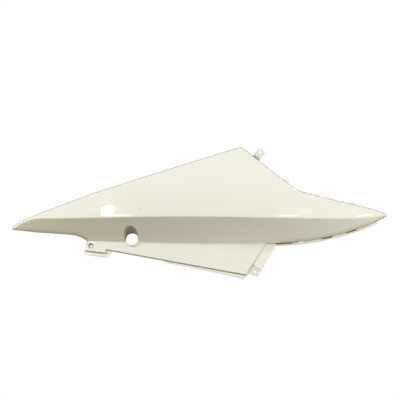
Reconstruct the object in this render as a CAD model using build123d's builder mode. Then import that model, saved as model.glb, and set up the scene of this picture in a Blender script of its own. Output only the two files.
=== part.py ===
from build123d import *
import math
import os

# Left-hand side panel of a scooter: one injection-moulded shell with a painted outer face.
# Frame: X runs rearwards along the scooter, Z is up, the outer face looks towards -Y.
# The origin is the middle of the front screw hole, where its countersink ends.

# Plan view: how far the crease line stands out along the length
front_x = -159.0          # front tip
rear_x = 593.0            # rear tip
widest_x = 190.0          # where the crease stands furthest out
front_fall = 34.0         # how far the front tip is set in from there
rear_fall = 90.0          # how far the rear tip is set in from there
nose_x = -100.0           # forward of this the nose turns in and droops
nose_turn = 10.0
nose_droop = 24.0

# Side view: heights of the crease and of the root, where the band meets the skirt
crease_height = 57.3
crease_wave = 2.2         # slow rise and fall of the crease
wave_length = 620.0
tail_x = 530.0            # behind this the crease rises a little
tail_rise = 7.5
root_low = 4.5            # lowest height of the root
root_rise = 5.5           # extra height of the root at the front screw
root_low_x = 340.0

# Cross-section
upper_lean = math.tan(math.radians(9))     # upper face leans in
upper_crown = 500.0                        # radius that rounds the upper face
band_tilt = math.tan(math.radians(41))     # dark band turns under the crease
skirt_flare = 0.22                         # skirt kicks out again below the root
wall = 2.5                                 # moulded wall
crease_r = 4.0
root_r = 3.0
rim_r = 2.0                                # rolled edge all round
flange_depth = 9.0                         # the edge turns back this far behind the outer face

# Outline, seen from the side (X, Z)
front_tip = (-160.8, 33.2)
nose_top = (-136.0, 51.2)
brow_top = (18.0, 109.7)
ridge_mid = (155.0, 153.5)
apex = (300.9, 198.2)
bend = (410.0, 112.0)
dip = (445.0, 102.0)
shoulder = (567.0, 73.2)
rear_tip = (599.0, 61.9)
tail_low = (578.0, 51.0)
chin = (371.0, 5.2)
flange_top = (350.0, 4.0)
skirt_tail = (310.0, -58.0)
skirt_front = (36.0, -8.5)
notch_top = (30.6, -7.2)
notch_low = (30.6, -15.0)
toe_low = (-13.8, -9.4)
toe_top = (-7.5, 9.3)
brow_mid = (-59.0, 82.0)
tail_mid = (480.0, 18.6)
toe_mid = (-21.0, 17.5)
heel = (-38.0, 22.2)
throat = (-62.0, 24.1)
jaw_mid = (-112.0, 27.6)
front_tip_r = 3.2
rear_tip_r = 3.2
corner_r = 4.0
apex_r = 9.0
flange_top_r = 6.0
bend_r = 85.0
dip_r = 300.0
shoulder_r = 150.0

# Lips, set back behind the skirt and tucked under the neighbouring panels
lip_step = 3.2            # set back from the outer face
lip_lap = 3.0             # how far a lip runs up behind the edge it hangs from
toe_lip = 8.0             # height of the lip under the toe
toe_lip_x = -14.0         # front end of the lip under the toe
toe_lip_end = 33.0        # its rear end
skirt_lip = ((42, 1.3), (146, 1.3), (155.4, 4.6), (215, 5.2), (262, 6.4), (304, 9.2))     # X, height
skirt_lip_end = 314.0     # rear end of the lip, where it meets the skirt
lip_corner_r = 2.0
tail_lip_low = (573.0, 49.6)      # rear end of the lip under the band
tail_lip_top = (580.0, 51.8)
tail_lip = 5.2            # height of the lip under the rear of the band
tail_slope = 0.27         # how straight the band's lower edge rises to the tail; 1 is a straight line
slot_high = 2.0           # blind slots between the band edge and its lip
slot_deep = 6.0           # how far they run in behind the lip's face
slot_wall = 1.5
blind_slots = ((386.5, 31.0), (473.0, 22.0), (522.0, 20.0))     # middle X, length
open_slot = (420.0, 8.0)

# Rear flange of the skirt
flange_step = 1.6         # flange is set in from the skirt
seat_step = 1.5           # screw seat is set in again from the flange
flange_out_top = (370.4, 0.6)
flange_out_low = (333.0, -60.8)
flange_corner_r = 1.5
flange_behind = ((315.2, -55.6), (308.0, -50.0), (346.0, 8.0), (370.5, 6.0))    # hidden by the skirt
seat_line_a = (322.0, -34.5)
seat_line_b = (328.5, -43.0)
seat_line_c = (341.5, -50.0)
seat_beyond = ((354.0, -62.0), (330.0, -75.0), (300.0, -60.0))     # outside the flange

# Fixings
screw_r = 2.75            # clearance holes for the 5 mm screws
sink_r = 5.5              # countersink of the front screw
sink_angle = 82.0
boss_r = 7.2
boss_depth = 9.0
rear_screw = (328.2, -49.6)
pad_r = 5.0               # raised pad round the screw holes
pad_high = 0.5
lock_x = 81.6             # seat lock
lock_z = 14.4
lock_r = 12.6             # hole for the lock barrel
lock_ring = 0.4           # flat ring round the hole
lock_tilt = 0.30          # the lock axis rises this much per unit outwards
lock_turn = 0.12          # and turns forward this much
lock_draft = 6.0          # taper of the pocket, degrees
lock_raise = 2.4          # the ring stands this far off the skirt
lock_wall = 1.8           # wall of the lock tube
lock_back = 7.0           # length of the lock hole, which passes behind the shell all round

# Top tab
tab_root = (331.3, 177.4)
tab_wide = 14.4
tab_long = 18.5
tab_hole = 12.4           # hole centre from the panel edge
tab_corner = 4.0
tab_drop = 7.0            # tab leaves the panel this far behind the outer face
tab_foot = -2.2           # the ramp starts here
tab_ramp = 1.6            # and ends here
tab_lift = 4.0            # the ramp brings it forward this far
tab_lap = 7.0             # how far the tab runs in behind the panel

# Push-in tongues along the upper rear edge: middle X, width, height, front and rear slant
tongue_a = (389.9, 12.0, 5.6, 7.0, 4.3)
tongue_b = (450.2, 13.0, 5.2, 3.4, 1.6)
tongue_c = (522.8, 10.8, 3.0, 4.0, 1.0)
tongue_step = 4.0         # set back from the outer face
tongue_lap = 4.0          # how far they run in behind the edge

far = 120.0               # larger than the panel is deep
beyond = 25.0             # sections run this far above and below the outline
least_r = 0.3             # smaller roundings are left sharp
clear = 2.0               # cuts start this far outside the face they enter
overlap = 0.5             # joined solids run this far into each other

# Cubic plan curve through the two tips, level at the widest point.
front_run = front_x - widest_x
rear_run = rear_x - widest_x
plan_b = (rear_fall / rear_run**2 - front_fall / front_run**2) / (rear_run - front_run)
plan_a = front_fall / front_run**2 - plan_b * front_run


def nose(x):
    return max(0.0, (nose_x - x) / (nose_x - front_x))


def tail(x):
    return max(0.0, (x - tail_x) / (rear_x - tail_x))


def crease_z(x):
    wave = crease_wave * math.cos(2 * math.pi * (x - widest_x) / wave_length)
    return crease_height + wave - nose_droop * nose(x)**2 + tail_rise * tail(x)**2


def root_z(x):
    return root_low + root_rise * ((root_low_x - x) / root_low_x)**2


def plan_fall(x):
    run = x - widest_x
    return plan_a * run**2 + plan_b * run**3 + nose_turn * nose(x)**2


# The crease stands out just far enough for the skirt to lie one countersink's depth off the origin.
sink_depth = (sink_r - screw_r) / math.tan(math.radians(sink_angle / 2))
screw_out = sink_depth * math.hypot(1, skirt_flare)
screw_band = (crease_z(0) - root_z(0)) * band_tilt
widest_out = screw_out + screw_band - skirt_flare * root_z(0) + plan_fall(0)


def crease_out(x):
    return widest_out - plan_fall(x)


def band_out(x, z):
    return crease_out(x) - (crease_z(x) - z) * band_tilt


def upper_out(x, z):
    rise = z - crease_z(x)
    return crease_out(x) - upper_lean * rise - rise**2 / (2 * upper_crown)


def skirt_point(x, z):
    out = band_out(x, root_z(x)) + skirt_flare * (root_z(x) - z)
    return Vector(x, -out, z)


def skirt_plane(x, z):
    along = skirt_point(x + 1, z) - skirt_point(x - 1, z)
    upward = skirt_point(x, z + 1) - skirt_point(x, z - 1)
    return Plane(origin=skirt_point(x, z), x_dir=along, z_dir=along.cross(upward))


# Section points (Y, Z) of the outer face, moved inwards by a depth.
def section_points(x, depth):
    z_top = apex[1] + beyond
    z_low = flange_out_low[1] - beyond
    rise = z_top - crease_z(x)
    half = rise / 2
    top_in = Vector(1, -(upper_lean + rise / upper_crown)).normalized()
    mid_in = Vector(1, -(upper_lean + half / upper_crown)).normalized()
    crease_in = Vector(1, -upper_lean).normalized()
    band_in = Vector(1, band_tilt).normalized()
    skirt_in = Vector(1, -skirt_flare).normalized()
    top = Vector(-upper_out(x, z_top), z_top) + top_in * depth
    mid = Vector(-upper_out(x, crease_z(x) + half), crease_z(x) + half) + mid_in * depth
    crease = Vector(-crease_out(x), crease_z(x))
    crease = crease + (crease_in + band_in) * (depth / (1 + crease_in.dot(band_in)))
    root = Vector(-band_out(x, root_z(x)), root_z(x))
    low = root + Vector(-skirt_flare, -1) * (root_z(x) - z_low) + skirt_in * depth
    root = root + (band_in + skirt_in) * (depth / (1 + band_in.dot(skirt_in)))
    return [top, mid, crease, root, low]


stations = [-164, -150, -125, -100, -60, 0, 80, 180, 280, 380, 460, 520, 560, 600]


# Everything behind the outer face moved in by a depth, back to a flat plane.
def behind(depth):
    sections = []
    for x in stations:
        top, mid, crease, root, low = section_points(x, depth)
        with BuildSketch(Plane.YZ.offset(x)) as section:
            with BuildLine():
                ThreePointArc(top, mid, crease)
                Line(crease, root)
                Line(root, low)
                Line(low, (far, low.Y))
                Line((far, low.Y), (far, top.Y))
                Line((far, top.Y), top)
            make_face()
            crease_corner = section.vertices().sort_by_distance(Vector(crease.X, crease.Y, 0))[0]
            if depth < crease_r - least_r:
                fillet(crease_corner, radius=crease_r - depth)
            root_corner = section.vertices().sort_by_distance(Vector(root.X, root.Y, 0))[0]
            fillet(root_corner, radius=root_r + depth)
        sections.append(section.sketch.face())
    with BuildPart() as block:
        loft(sections=sections)
    return block.part


def near(sketch, point):
    return sketch.vertices().sort_by_distance(Vector(point[0], point[1], 0))[0]


# Outline of the painted face
with BuildSketch(Plane.XZ) as outline:
    with BuildLine():
        brow = ThreePointArc(nose_top, brow_mid, brow_top)
        ThreePointArc(brow_top, ridge_mid, apex)
        TangentArc(nose_top, front_tip, tangent=-(brow % 0))
        Polyline(apex, bend, dip, shoulder, rear_tip, tail_low)
        ThreePointArc(tail_low, tail_mid, chin)
        Polyline(chin, flange_top, skirt_tail, skirt_front, notch_top, notch_low, toe_low, toe_top)
        ThreePointArc(toe_top, toe_mid, heel)
        Line(heel, throat)
        ThreePointArc(throat, jaw_mid, front_tip)
    make_face()
    fillet(near(outline, front_tip), radius=front_tip_r)
    fillet(near(outline, rear_tip), radius=rear_tip_r)
    fillet([near(outline, p) for p in (tail_low, skirt_tail, toe_low)], radius=corner_r)
    fillet(near(outline, flange_top), radius=flange_top_r)
    fillet(near(outline, apex), radius=apex_r)
    fillet(near(outline, toe_top), radius=corner_r)
    fillet(near(outline, bend), radius=bend_r)
    fillet(near(outline, dip), radius=dip_r)
    fillet(near(outline, shoulder), radius=shoulder_r)

with BuildSketch(Plane.XZ) as inner_outline:
    add(outline.sketch)
    offset(amount=-wall, kind=Kind.ARC, mode=Mode.REPLACE)

skin_block = behind(0)
wall_block = behind(wall)
flange_block = behind(flange_depth)
lip_front_block = behind(lip_step)
lip_back_block = behind(lip_step + wall)

with BuildPart() as hollow:
    add(wall_block)
    extrude(inner_outline.sketch, amount=far * 2, both=True, mode=Mode.INTERSECT)

# Lips under the skirt
skirt_slope = (skirt_tail[1] - skirt_front[1]) / (skirt_tail[0] - skirt_front[0])


def skirt_edge(x, drop):
    return (x, skirt_front[1] + skirt_slope * (x - skirt_front[0]) - drop)


toe_slope = (notch_low[1] - toe_low[1]) / (notch_low[0] - toe_low[0])


def toe_edge(x, drop):
    return (x, toe_low[1] + toe_slope * (x - toe_low[0]) - drop)


with BuildSketch(Plane.XZ) as lips_outline:
    with BuildLine():
        Polyline(toe_edge(toe_lip_x + 3, -lip_lap), toe_edge(toe_lip_x, 1), toe_edge(toe_lip_x, toe_lip),
                 toe_edge(toe_lip_end, toe_lip), *[skirt_edge(x, height) for x, height in skirt_lip],
                 skirt_edge(skirt_lip_end, -1), skirt_edge(skirt_lip_end - 8, -lip_lap),
                 skirt_edge(toe_lip_end + 5, -lip_lap), toe_edge(toe_lip_end - 6, -lip_lap), close=True)
    make_face()
    fillet(near(lips_outline, toe_edge(toe_lip_x, toe_lip)), radius=lip_corner_r)
    fillet(near(lips_outline, toe_edge(toe_lip_end, toe_lip)), radius=lip_corner_r)
    fillet(near(lips_outline, skirt_edge(*skirt_lip[-1])), radius=lip_corner_r)

with BuildPart() as lips:
    add(lip_front_block)
    add(lip_back_block, mode=Mode.SUBTRACT)
    extrude(lips_outline.sketch, amount=far * 2, both=True, mode=Mode.INTERSECT)

# Lip under the rear of the band: it faces straight out, so it shows below the band
def tail_strip(above, below):
    with BuildSketch(Plane.XZ) as strip:
        with BuildLine():
            low = ThreePointArc((tail_lip_low[0], tail_lip_low[1] - below), (tail_mid[0], tail_mid[1] - below),
                                (chin[0], chin[1] - below))
            top = ThreePointArc((chin[0], chin[1] + above), (tail_mid[0], tail_mid[1] + above),
                                (tail_lip_top[0], tail_lip_top[1] + above))
            Line(low @ 1, top @ 0)
            Line(top @ 1, low @ 0)
        make_face()
    return strip.sketch


def windows(slots, margin):
    with BuildSketch(Plane.XZ) as openings:
        for middle, length in slots:
            with Locations((middle, 0)):
                Rectangle(length + 2 * margin, far * 2)
    return openings.sketch


with BuildSketch(Plane.XZ) as tail_lip_outline:
    add(tail_strip(2, tail_lip))

with BuildSketch(Plane.XZ) as slot_outline:
    add(tail_strip(1.5, slot_high))
    add(windows(blind_slots, 0), mode=Mode.INTERSECT)

with BuildSketch(Plane.XZ) as slot_box_outline:
    add(tail_strip(1, slot_high + slot_wall))
    add(windows(blind_slots, slot_wall), mode=Mode.INTERSECT)

with BuildSketch(Plane.XZ) as open_slot_outline:
    add(tail_strip(1.5, slot_high))
    add(windows((open_slot,), 0), mode=Mode.INTERSECT)

tail_stations = [360, 400, 440, 480, 520, 550, 580]


def tail_edge_z(x):
    share = (x - chin[0]) / (tail_low[0] - chin[0])
    return chin[1] + (tail_low[1] - chin[1]) * (tail_slope * share + (1 - tail_slope) * share**2)


def curtain(front, back):
    sections = []
    for x in tail_stations:
        face_y = -band_out(x, max(tail_edge_z(x), root_z(x)))
        with BuildSketch(Plane.YZ.offset(x)) as strip:
            with BuildLine():
                Polyline((face_y + front, -far), (face_y + back, -far), (face_y + back, far),
                         (face_y + front, far), close=True)
            make_face()
        sections.append(strip.sketch.face())
    with BuildPart() as sheet:
        loft(sections=sections)
    return sheet.part


lip_curtain = curtain(lip_step, lip_step + wall)
box_curtain = curtain(lip_step + wall / 2, lip_step + slot_deep + slot_wall)
slot_curtain = curtain(0, lip_step + slot_deep)

with BuildPart() as slot_boxes:
    add(box_curtain)
    extrude(slot_box_outline.sketch, amount=far * 2, both=True, mode=Mode.INTERSECT)

with BuildPart() as slot_cuts:
    add(slot_curtain)
    extrude(slot_outline.sketch, amount=far * 2, both=True, mode=Mode.INTERSECT)

with BuildPart() as tail_lips:
    add(lip_curtain)
    extrude(tail_lip_outline.sketch, amount=far * 2, both=True, mode=Mode.INTERSECT)
    add(slot_boxes.part)
    add(slot_cuts.part, mode=Mode.SUBTRACT)
    extrude(open_slot_outline.sketch, amount=far * 2, both=True, mode=Mode.SUBTRACT)

# Rear flange with the lower screw seat
with BuildSketch(Plane.XZ) as flange_outline:
    with BuildLine():
        Polyline(flange_out_top, flange_out_low, *flange_behind, close=True)
    make_face()
    fillet(near(flange_outline, flange_out_low), radius=flange_corner_r)

with BuildSketch(Plane.XZ) as seat_outline:
    with BuildLine():
        Polyline(seat_line_a, seat_line_b, seat_line_c, *seat_beyond, close=True)
    make_face()

flange_front_block = behind(flange_step)
seat_front_block = behind(flange_step + seat_step)
seat_back_block = behind(flange_step + seat_step + wall)

with BuildPart() as rear_flange:
    add(flange_front_block)
    add(seat_back_block, mode=Mode.SUBTRACT)
    extrude(flange_outline.sketch, amount=far * 2, both=True, mode=Mode.INTERSECT)

with BuildPart() as seat_cut:
    add(flange_front_block)
    add(seat_front_block, mode=Mode.SUBTRACT)
    extrude(seat_outline.sketch, amount=far * 2, both=True, mode=Mode.INTERSECT)

# Screw bosses and lock tube behind the skirt
screw_face = skirt_plane(0, 0)
screw_plane = Plane(origin=(0, 0, 0), x_dir=screw_face.x_dir, z_dir=screw_face.z_dir).offset(sink_depth)
rear_plane = skirt_plane(rear_screw[0], rear_screw[1])
rear_face = rear_plane.offset(-(flange_step + seat_step))

lock_seat = skirt_point(lock_x, lock_z) + skirt_plane(lock_x, lock_z).z_dir * lock_raise
lock_axis = Vector(-lock_turn, -1, lock_tilt).normalized()
lock_plane = Plane(origin=lock_seat, x_dir=lock_axis.cross(Vector(0, 0, 1)), z_dir=lock_axis)
pocket_r = lock_r + lock_ring
tube_r = pocket_r + lock_wall

with BuildPart() as screw_boss:
    with BuildSketch(screw_plane.offset(-boss_depth)):
        Circle(boss_r)
    extrude(amount=boss_depth * 2)
    add(wall_block, mode=Mode.INTERSECT)

with BuildPart() as lock_tube:
    with BuildSketch(lock_plane.offset(-lock_back)):
        Circle(tube_r)
    extrude(amount=far / 2, taper=-lock_draft)
    add(skin_block, mode=Mode.INTERSECT)
    with BuildSketch(lock_plane.offset(-lock_back)):
        Circle(tube_r)
    extrude(amount=lock_back)

# Top tab: side profile swept across its width
edge_way = Vector(bend[0] - apex[0], 0, bend[1] - apex[1]).normalized()
tab_way = Vector(-edge_way.Z, 0, edge_way.X)
tab_back = tab_drop - upper_out(tab_root[0], tab_root[1])
tab_origin = Vector(tab_root[0], tab_back, tab_root[1])
tab_side = Plane(origin=tab_origin, x_dir=tab_way, z_dir=edge_way)
tab_face = Plane(origin=tab_origin + Vector(0, -tab_lift, 0), x_dir=edge_way, z_dir=(0, -1, 0))
tab_up = 1.0 if tab_side.y_dir.Y < 0 else -1.0

with BuildPart() as top_tab:
    with BuildSketch(tab_side):
        with BuildLine():
            Polyline((-tab_lap, 0), (tab_foot, 0), (tab_ramp, tab_up * tab_lift), (tab_long, tab_up * tab_lift),
                     (tab_long, tab_up * (tab_lift - wall)), (tab_ramp + 1, tab_up * (tab_lift - wall)),
                     (tab_foot + 1, -tab_up * wall), (-tab_lap, -tab_up * wall), close=True)
        make_face()
    extrude(amount=tab_wide / 2, both=True)
    tab_corners = top_tab.edges().filter_by(Axis.Y).sort_by(lambda e: (e @ 0.5 - tab_origin).dot(tab_way))
    fillet(tab_corners[-2:], radius=tab_corner)

# Tongues along the upper rear edge
def upper_edge_z(x):
    upright = Edge.make_line((x, 0, 80), (x, 0, 260))
    inside = outline.sketch.face().intersect(upright)
    return max(edge.bounding_box().max.Z for edge in inside)


def tongue_plane(x):
    z_a = upper_edge_z(x - 2)
    z_b = upper_edge_z(x + 2)
    way = Vector(4, 0, z_b - z_a).normalized()
    return Plane(origin=(x, 0, (z_a + z_b) / 2), x_dir=way, z_dir=(0, -1, 0))


tongue_front_block = behind(tongue_step)
tongue_back_block = behind(tongue_step + wall)

with BuildPart() as tongues:
    for middle, width, height, front_slant, rear_slant in (tongue_a, tongue_b, tongue_c):
        half = width / 2
        with BuildSketch(tongue_plane(middle)):
            with BuildLine():
                Polyline((-half, -tongue_lap), (-half, 0), (front_slant - half, height),
                         (half - rear_slant, height), (half, 0), (half, -tongue_lap), close=True)
            make_face()
        extrude(amount=far, both=True)
    add(tongue_front_block, mode=Mode.INTERSECT)
    add(tongue_back_block, mode=Mode.SUBTRACT)

# The panel
with BuildPart() as side_panel:
    add(skin_block)
    add(flange_block, mode=Mode.SUBTRACT)
    extrude(outline.sketch, amount=far * 2, both=True, mode=Mode.INTERSECT)
    skin_edges = [e for f in side_panel.faces() if f.normal_at().Y < -0.3 for e in f.edges()]
    wall_edges = [e for f in side_panel.faces() if abs(f.normal_at().Y) < 0.02 for e in f.edges()]
    rim_edges = [e for e in wall_edges if any(e.is_same(other) for other in skin_edges)]
    fillet(rim_edges, radius=rim_r)
    add(hollow.part, mode=Mode.SUBTRACT)
    add(lips.part)
    add(tail_lips.part)
    add(rear_flange.part)
    add(seat_cut.part, mode=Mode.SUBTRACT)
    add(tongues.part)
    add(top_tab.part)
    add(screw_boss.part)
    add(lock_tube.part)
    with BuildSketch(tab_face.offset(-overlap)):
        with Locations((0, tab_hole)):
            Circle(pad_r)
    extrude(amount=overlap + pad_high)
    with BuildSketch(rear_face.offset(-overlap)):
        Circle(pad_r)
    extrude(amount=overlap + pad_high)
    with BuildSketch(lock_plane):
        Circle(pocket_r)
    extrude(amount=far / 2, taper=-lock_draft, mode=Mode.SUBTRACT)
    with BuildSketch(lock_plane.offset(clear)):
        Circle(lock_r)
    extrude(amount=-far / 2, mode=Mode.SUBTRACT)
    with Locations(screw_plane):
        CounterSinkHole(radius=screw_r, counter_sink_radius=sink_r, depth=boss_depth + clear,
                        counter_sink_angle=sink_angle)
    with Locations(rear_face.offset(clear)):
        Hole(radius=screw_r, depth=boss_depth)
    with BuildSketch(tab_face.offset(clear)):
        with Locations((0, tab_hole)):
            Circle(screw_r)
    extrude(amount=-boss_depth, mode=Mode.SUBTRACT)

side_panel.part.label = "side_panel"
os.makedirs("parts", exist_ok=True)
export_step(side_panel.part, "parts/side_panel.step")
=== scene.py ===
import math
import bpy
import numpy as np
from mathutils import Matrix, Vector
from mathutils.geometry import delaunay_2d_cdt


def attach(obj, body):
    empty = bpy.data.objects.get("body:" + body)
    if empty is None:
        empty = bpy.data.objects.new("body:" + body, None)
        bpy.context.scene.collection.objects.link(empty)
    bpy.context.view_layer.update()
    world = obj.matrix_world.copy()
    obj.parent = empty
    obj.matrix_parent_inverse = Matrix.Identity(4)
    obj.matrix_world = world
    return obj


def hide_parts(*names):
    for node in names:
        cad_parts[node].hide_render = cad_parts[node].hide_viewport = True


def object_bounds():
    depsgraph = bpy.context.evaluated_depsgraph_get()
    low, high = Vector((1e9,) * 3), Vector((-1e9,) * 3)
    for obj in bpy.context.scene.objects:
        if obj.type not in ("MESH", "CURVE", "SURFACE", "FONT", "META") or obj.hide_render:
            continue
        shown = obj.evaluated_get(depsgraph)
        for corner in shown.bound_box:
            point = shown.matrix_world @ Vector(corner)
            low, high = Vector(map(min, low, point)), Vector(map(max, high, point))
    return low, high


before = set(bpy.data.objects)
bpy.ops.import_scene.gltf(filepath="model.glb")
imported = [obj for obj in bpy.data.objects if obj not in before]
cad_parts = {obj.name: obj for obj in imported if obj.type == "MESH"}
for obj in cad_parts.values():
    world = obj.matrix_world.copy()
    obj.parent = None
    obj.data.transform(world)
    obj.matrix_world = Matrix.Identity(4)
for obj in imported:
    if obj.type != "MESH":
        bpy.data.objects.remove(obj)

cad_box = [list(corner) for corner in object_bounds()]

# the form, in mm, with the sizes of the solids
FRONT_X, WIDEST_X, REAR_X = -159.0, 190.0, 593.0
FRONT_FALL, REAR_FALL = 34.0, 90.0  # how far the two tips are set in from the widest point
NOSE_X, NOSE_TURN, NOSE_DROOP = -100.0, 10.0, 24.0  # forward of this x the nose turns in and droops
TAIL_X, TAIL_RISE = 530.0, 7.5  # behind this x the crease rises
CREASE_HEIGHT, CREASE_WAVE, WAVE_LENGTH = 57.3, 2.2, 620.0
ROOT_LOW, ROOT_RISE, ROOT_LOW_X = 4.5, 5.5, 340.0  # the corner under the band, where the skirt starts
LEAN = math.tan(math.radians(9))  # the upper face leans in
CROWN, CROWN_LOW = 500.0, -20.0  # radius of the upper face, and where below the crease its slope ends
TILT = math.tan(math.radians(41))  # the band turns under the crease
FLARE = 0.22  # the skirt kicks out again below the root
TAIL_SLOPE = 0.27  # how straight the band's lower edge rises to the tail; 1 is a straight line
WALL, CREASE_R, ROOT_R, RIM_R = 2.5, 4.0, 3.0, 2.0
FLANGE = 9.0  # the edge turns back this far behind the face
LEAST_R = 0.3  # of the crease, on the inner side
Q_UP, Q_BAND, Q_SKIRT = math.hypot(1, LEAN), math.hypot(1, TILT), math.hypot(1, FLARE)  # along each slope

# the fixings and lips, in mm; a step or a back is how far behind the face a front or a back lies
SCREW_R, SINK_R, SINK_UNDER_R, SINK_EDGE = 2.75, 5.5, 5.0, 0.35
SINK = math.tan(math.radians(41))  # side of the front screw's countersink
SINK_DEPTH = (SINK_R - SCREW_R) / SINK
BOSS_R, BOSS_DEPTH = 7.2, 9.0
PAD_R, PAD_HIGH, PAD_HOLE = 5.0, 0.5, 3.8
LOCK_AT, LOCK_RAISE, LOCK_AXIS = (81.6, 14.4), 2.4, (-0.12, -1.0, 0.30)
LOCK_R, POCKET_R, POCKET_UNDER_R, TUBE_R, LOCK_BACK = 12.6, 13.0, 13.9, 14.8, 7.0
DRAFT, POCKET_EDGE = math.tan(math.radians(6)), 0.9  # taper of the lock pocket, rounding of its mouth
FLANGE_STEP, FLANGE_BACK = 1.6, 5.6
FLANGE_LINE = [(316, -38), (346, 8), (370.5, 6), (370.4, 0.6), (340.6, -48.6), (328.5, -43), (322, -34.5)]
FLANGE_RADII = [0, 0, 0, 1, 0.6, 0.8, 0]
SEAT_AT, SEAT_STEP, SEAT_BACK = (328.2, -49.6), 3.1, 5.58
SEAT_LINE = [(320, -33), (308, -50), (315.2, -55.6), (333, -60.8), (341.2, -47.2), (330, -41.5)]
SEAT_RADII = [0, 0, 0, 1.5, 0, 0]
LIP_STEP, LIP_CORNER_R = 3.2, 2
TOE_LIP, TOE_LIP_END = ((-11, -3), (-14, 1), (-14, 8), (33, 8)), (27, -3)  # x, how far below the edge
SKIRT_LIP = ((42, 1.3), (146, 1.3), (155.4, 4.6), (215, 5.15), (262, 6.35), (304, 9.2),
             (314, -1), (306, -3), (38, -3))
TAIL_LIP_X, TAIL_LIP_HIGH, TAIL_LIP_LAP, TAIL_LIP_SLANT = (371.4, 573.0), 5.2, 2.0, 4.8
BLIND_SLOTS, OPEN_SLOT = ((386.5, 31.0), (473.0, 22.0), (522.0, 20.0)), (420.0, 8.0)  # middle x, length
SLOT_ABOVE, SLOT_BELOW, SLOT_END, SLOT_WALL = 1.5, 2.0, 9.2, 1.5
CUP_START, CASE_START, CASE_ABOVE = 5.6, 5.0, 1.2
TAB_ROOT, TAB_WAY, EDGE_WAY = (331.3, 177.4), (0.620112, 0.784513), (0.784513, -0.620112)
TAB_WIDE, TAB_LONG, TAB_HOLE, TAB_CORNER, TAB_LAP = 14.4, 18.5, 12.4, 4.0, 7.0
TAB_DROP, TAB_FOOT, TAB_LIFT = 7.0, -2.2, 4.0  # behind the face, where the ramp starts, its height
RAMP_RUN, RAMP_LAG = 0.95, 0.4  # the ramp's run for each mm of height, and its back's lag behind its front
# each tongue's middle x, width and height, and how far its front and rear sides lean in
TONGUES = ((389.9, 12.0, 5.6, 7.0, 4.3), (450.2, 13.0, 5.2, 3.4, 1.6), (522.8, 10.8, 3.0, 4.0, 1.0))
TONGUE_STEP, TONGUE_LAP = 4.0, 4.0
UPPER_REAR = (303, 55)  # the upper rear edge lies behind and above this

# the outline of the painted face, as (x, z) in mm
FRONT_TIP, NOSE_TOP, BROW_MID, BROW_TOP = (-160.8, 33.2), (-136.0, 51.2), (-59.0, 82.0), (18.0, 109.7)
RIDGE_MID, APEX, BEND, DIP = (155.0, 153.5), (300.9, 198.2), (410.0, 112.0), (445.0, 102.0)
SHOULDER, REAR_TIP, TAIL_LOW, TAIL_MID = (567.0, 73.2), (599.0, 61.9), (578.0, 51.0), (480.0, 18.6)
CHIN, FLANGE_TOP, SKIRT_TAIL, SKIRT_FRONT = (371.0, 5.2), (350.0, 4.0), (310.0, -58.0), (36.0, -8.5)
NOTCH_TOP, NOTCH_LOW, TOE_LOW, TOE_TOP = (30.6, -7.2), (30.6, -15.0), (-13.8, -9.4), (-7.5, 9.3)
TOE_MID, HEEL, THROAT, JAW_MID = (-21.0, 17.5), (-38.0, 22.2), (-62.0, 24.1), (-112.0, 27.6)
TIP_R, APEX_R, BEND_R, DIP_R, SHOULDER_R = 3.2, 9.0, 85.0, 300.0, 150.0
CORNER_R, FLANGE_TOP_R, NOTCH_TOP_R, NOTCH_LOW_R = 4.0, 6.0, 0.8, 2.7

# the mesh, in mm unless it says otherwise
MM = 1000.0  # in a metre
STEP, FINE_STEP, TIP_STEP = 2.5, 1.5, 1.2
OUTER_STEP, INNER_STEP, SLOT_GRID = 2.6, 3.4, 2.0
CORNER_TURN, SMOOTH_TURN = math.radians(9), math.radians(40)
LEAST_SIDE, LEAST_REST, LEAST_MITRE = 0.02, 0.3, 0.3
SLOPE_REACH = 0.05  # a surface's slope is taken over this far to each side
FACE_LOW, FACE_HIGH = (-157, -62), (592, 203)
# rows of points that follow the crease and the root, by their height over it
NEAR_CREASE = (-3.4, -2.8, -2.2, -1.6, -1.0, -0.4, 0.2, 0.8, 1.4, 2.2)
NEAR_ROOT = (-1.4, -0.9, -0.4, 0.1, 0.6, 1.1, 1.6, 2.2, 2.8)
ROW_STEP, ROWS_ABOVE, ROWS_BELOW, ROWS_BETWEEN = 3.0, 60, 30, 17
BACK_EDGE = 0.4
LOCK_SIDES, SCREW_SIDES, HOLE_SIDES = 96, 48, 40
AXIS_LOW, AXIS_HIGH = -12.0, 60.0  # where a hole is sought along its axis
BOX_MARGIN = 0.01
PAINT, PLASTIC = 0, 1  # the pieces' material slots

# painted shade, as shares of edge shade and of deep shade, row by row over a rounded edge
RIM_EDGE_SHADE, RIM_DEEP = (0.2, 0.85, 1, 1, 1, 1, 1, 1, 1), (0, 0.1, 0.3, 0.4, 0.4, 0.4, 0.4, 0.4, 0.4)
PLATE_EDGE_SHADE, PLATE_DEEP = (0.4, 1, 1, 1, 1), (0, 0.1, 0.4, 0.4, 0.4)
# painted shade on the walls of the lock pocket and of the front screw's countersink
POCKET_DEEP, SINK_DEEP = 0.67, 0.5
LOW_EDGE_END = 590.0  # x where the band's lower edge ends
LOW_EDGE_WIDE, LOW_EDGE_SHADE, LOW_EDGE_FADE = 8.0, 0.6, 1.2  # painted shade along the band's lower edge: how wide in mm, its share at the edge, and how fast it fades


def unit(way):
    return way / np.linalg.norm(way)


def nose_share(x):
    return np.maximum(0, (NOSE_X - x) / (NOSE_X - FRONT_X))


def crease_z(x):
    tail = np.maximum(0, (x - TAIL_X) / (REAR_X - TAIL_X))
    wave = CREASE_WAVE * np.cos(2 * np.pi * (x - WIDEST_X) / WAVE_LENGTH)
    return CREASE_HEIGHT + wave - NOSE_DROOP * nose_share(x)**2 + TAIL_RISE * tail**2


def root_z(x):
    return ROOT_LOW + ROOT_RISE * ((ROOT_LOW_X - x) / ROOT_LOW_X)**2


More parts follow.
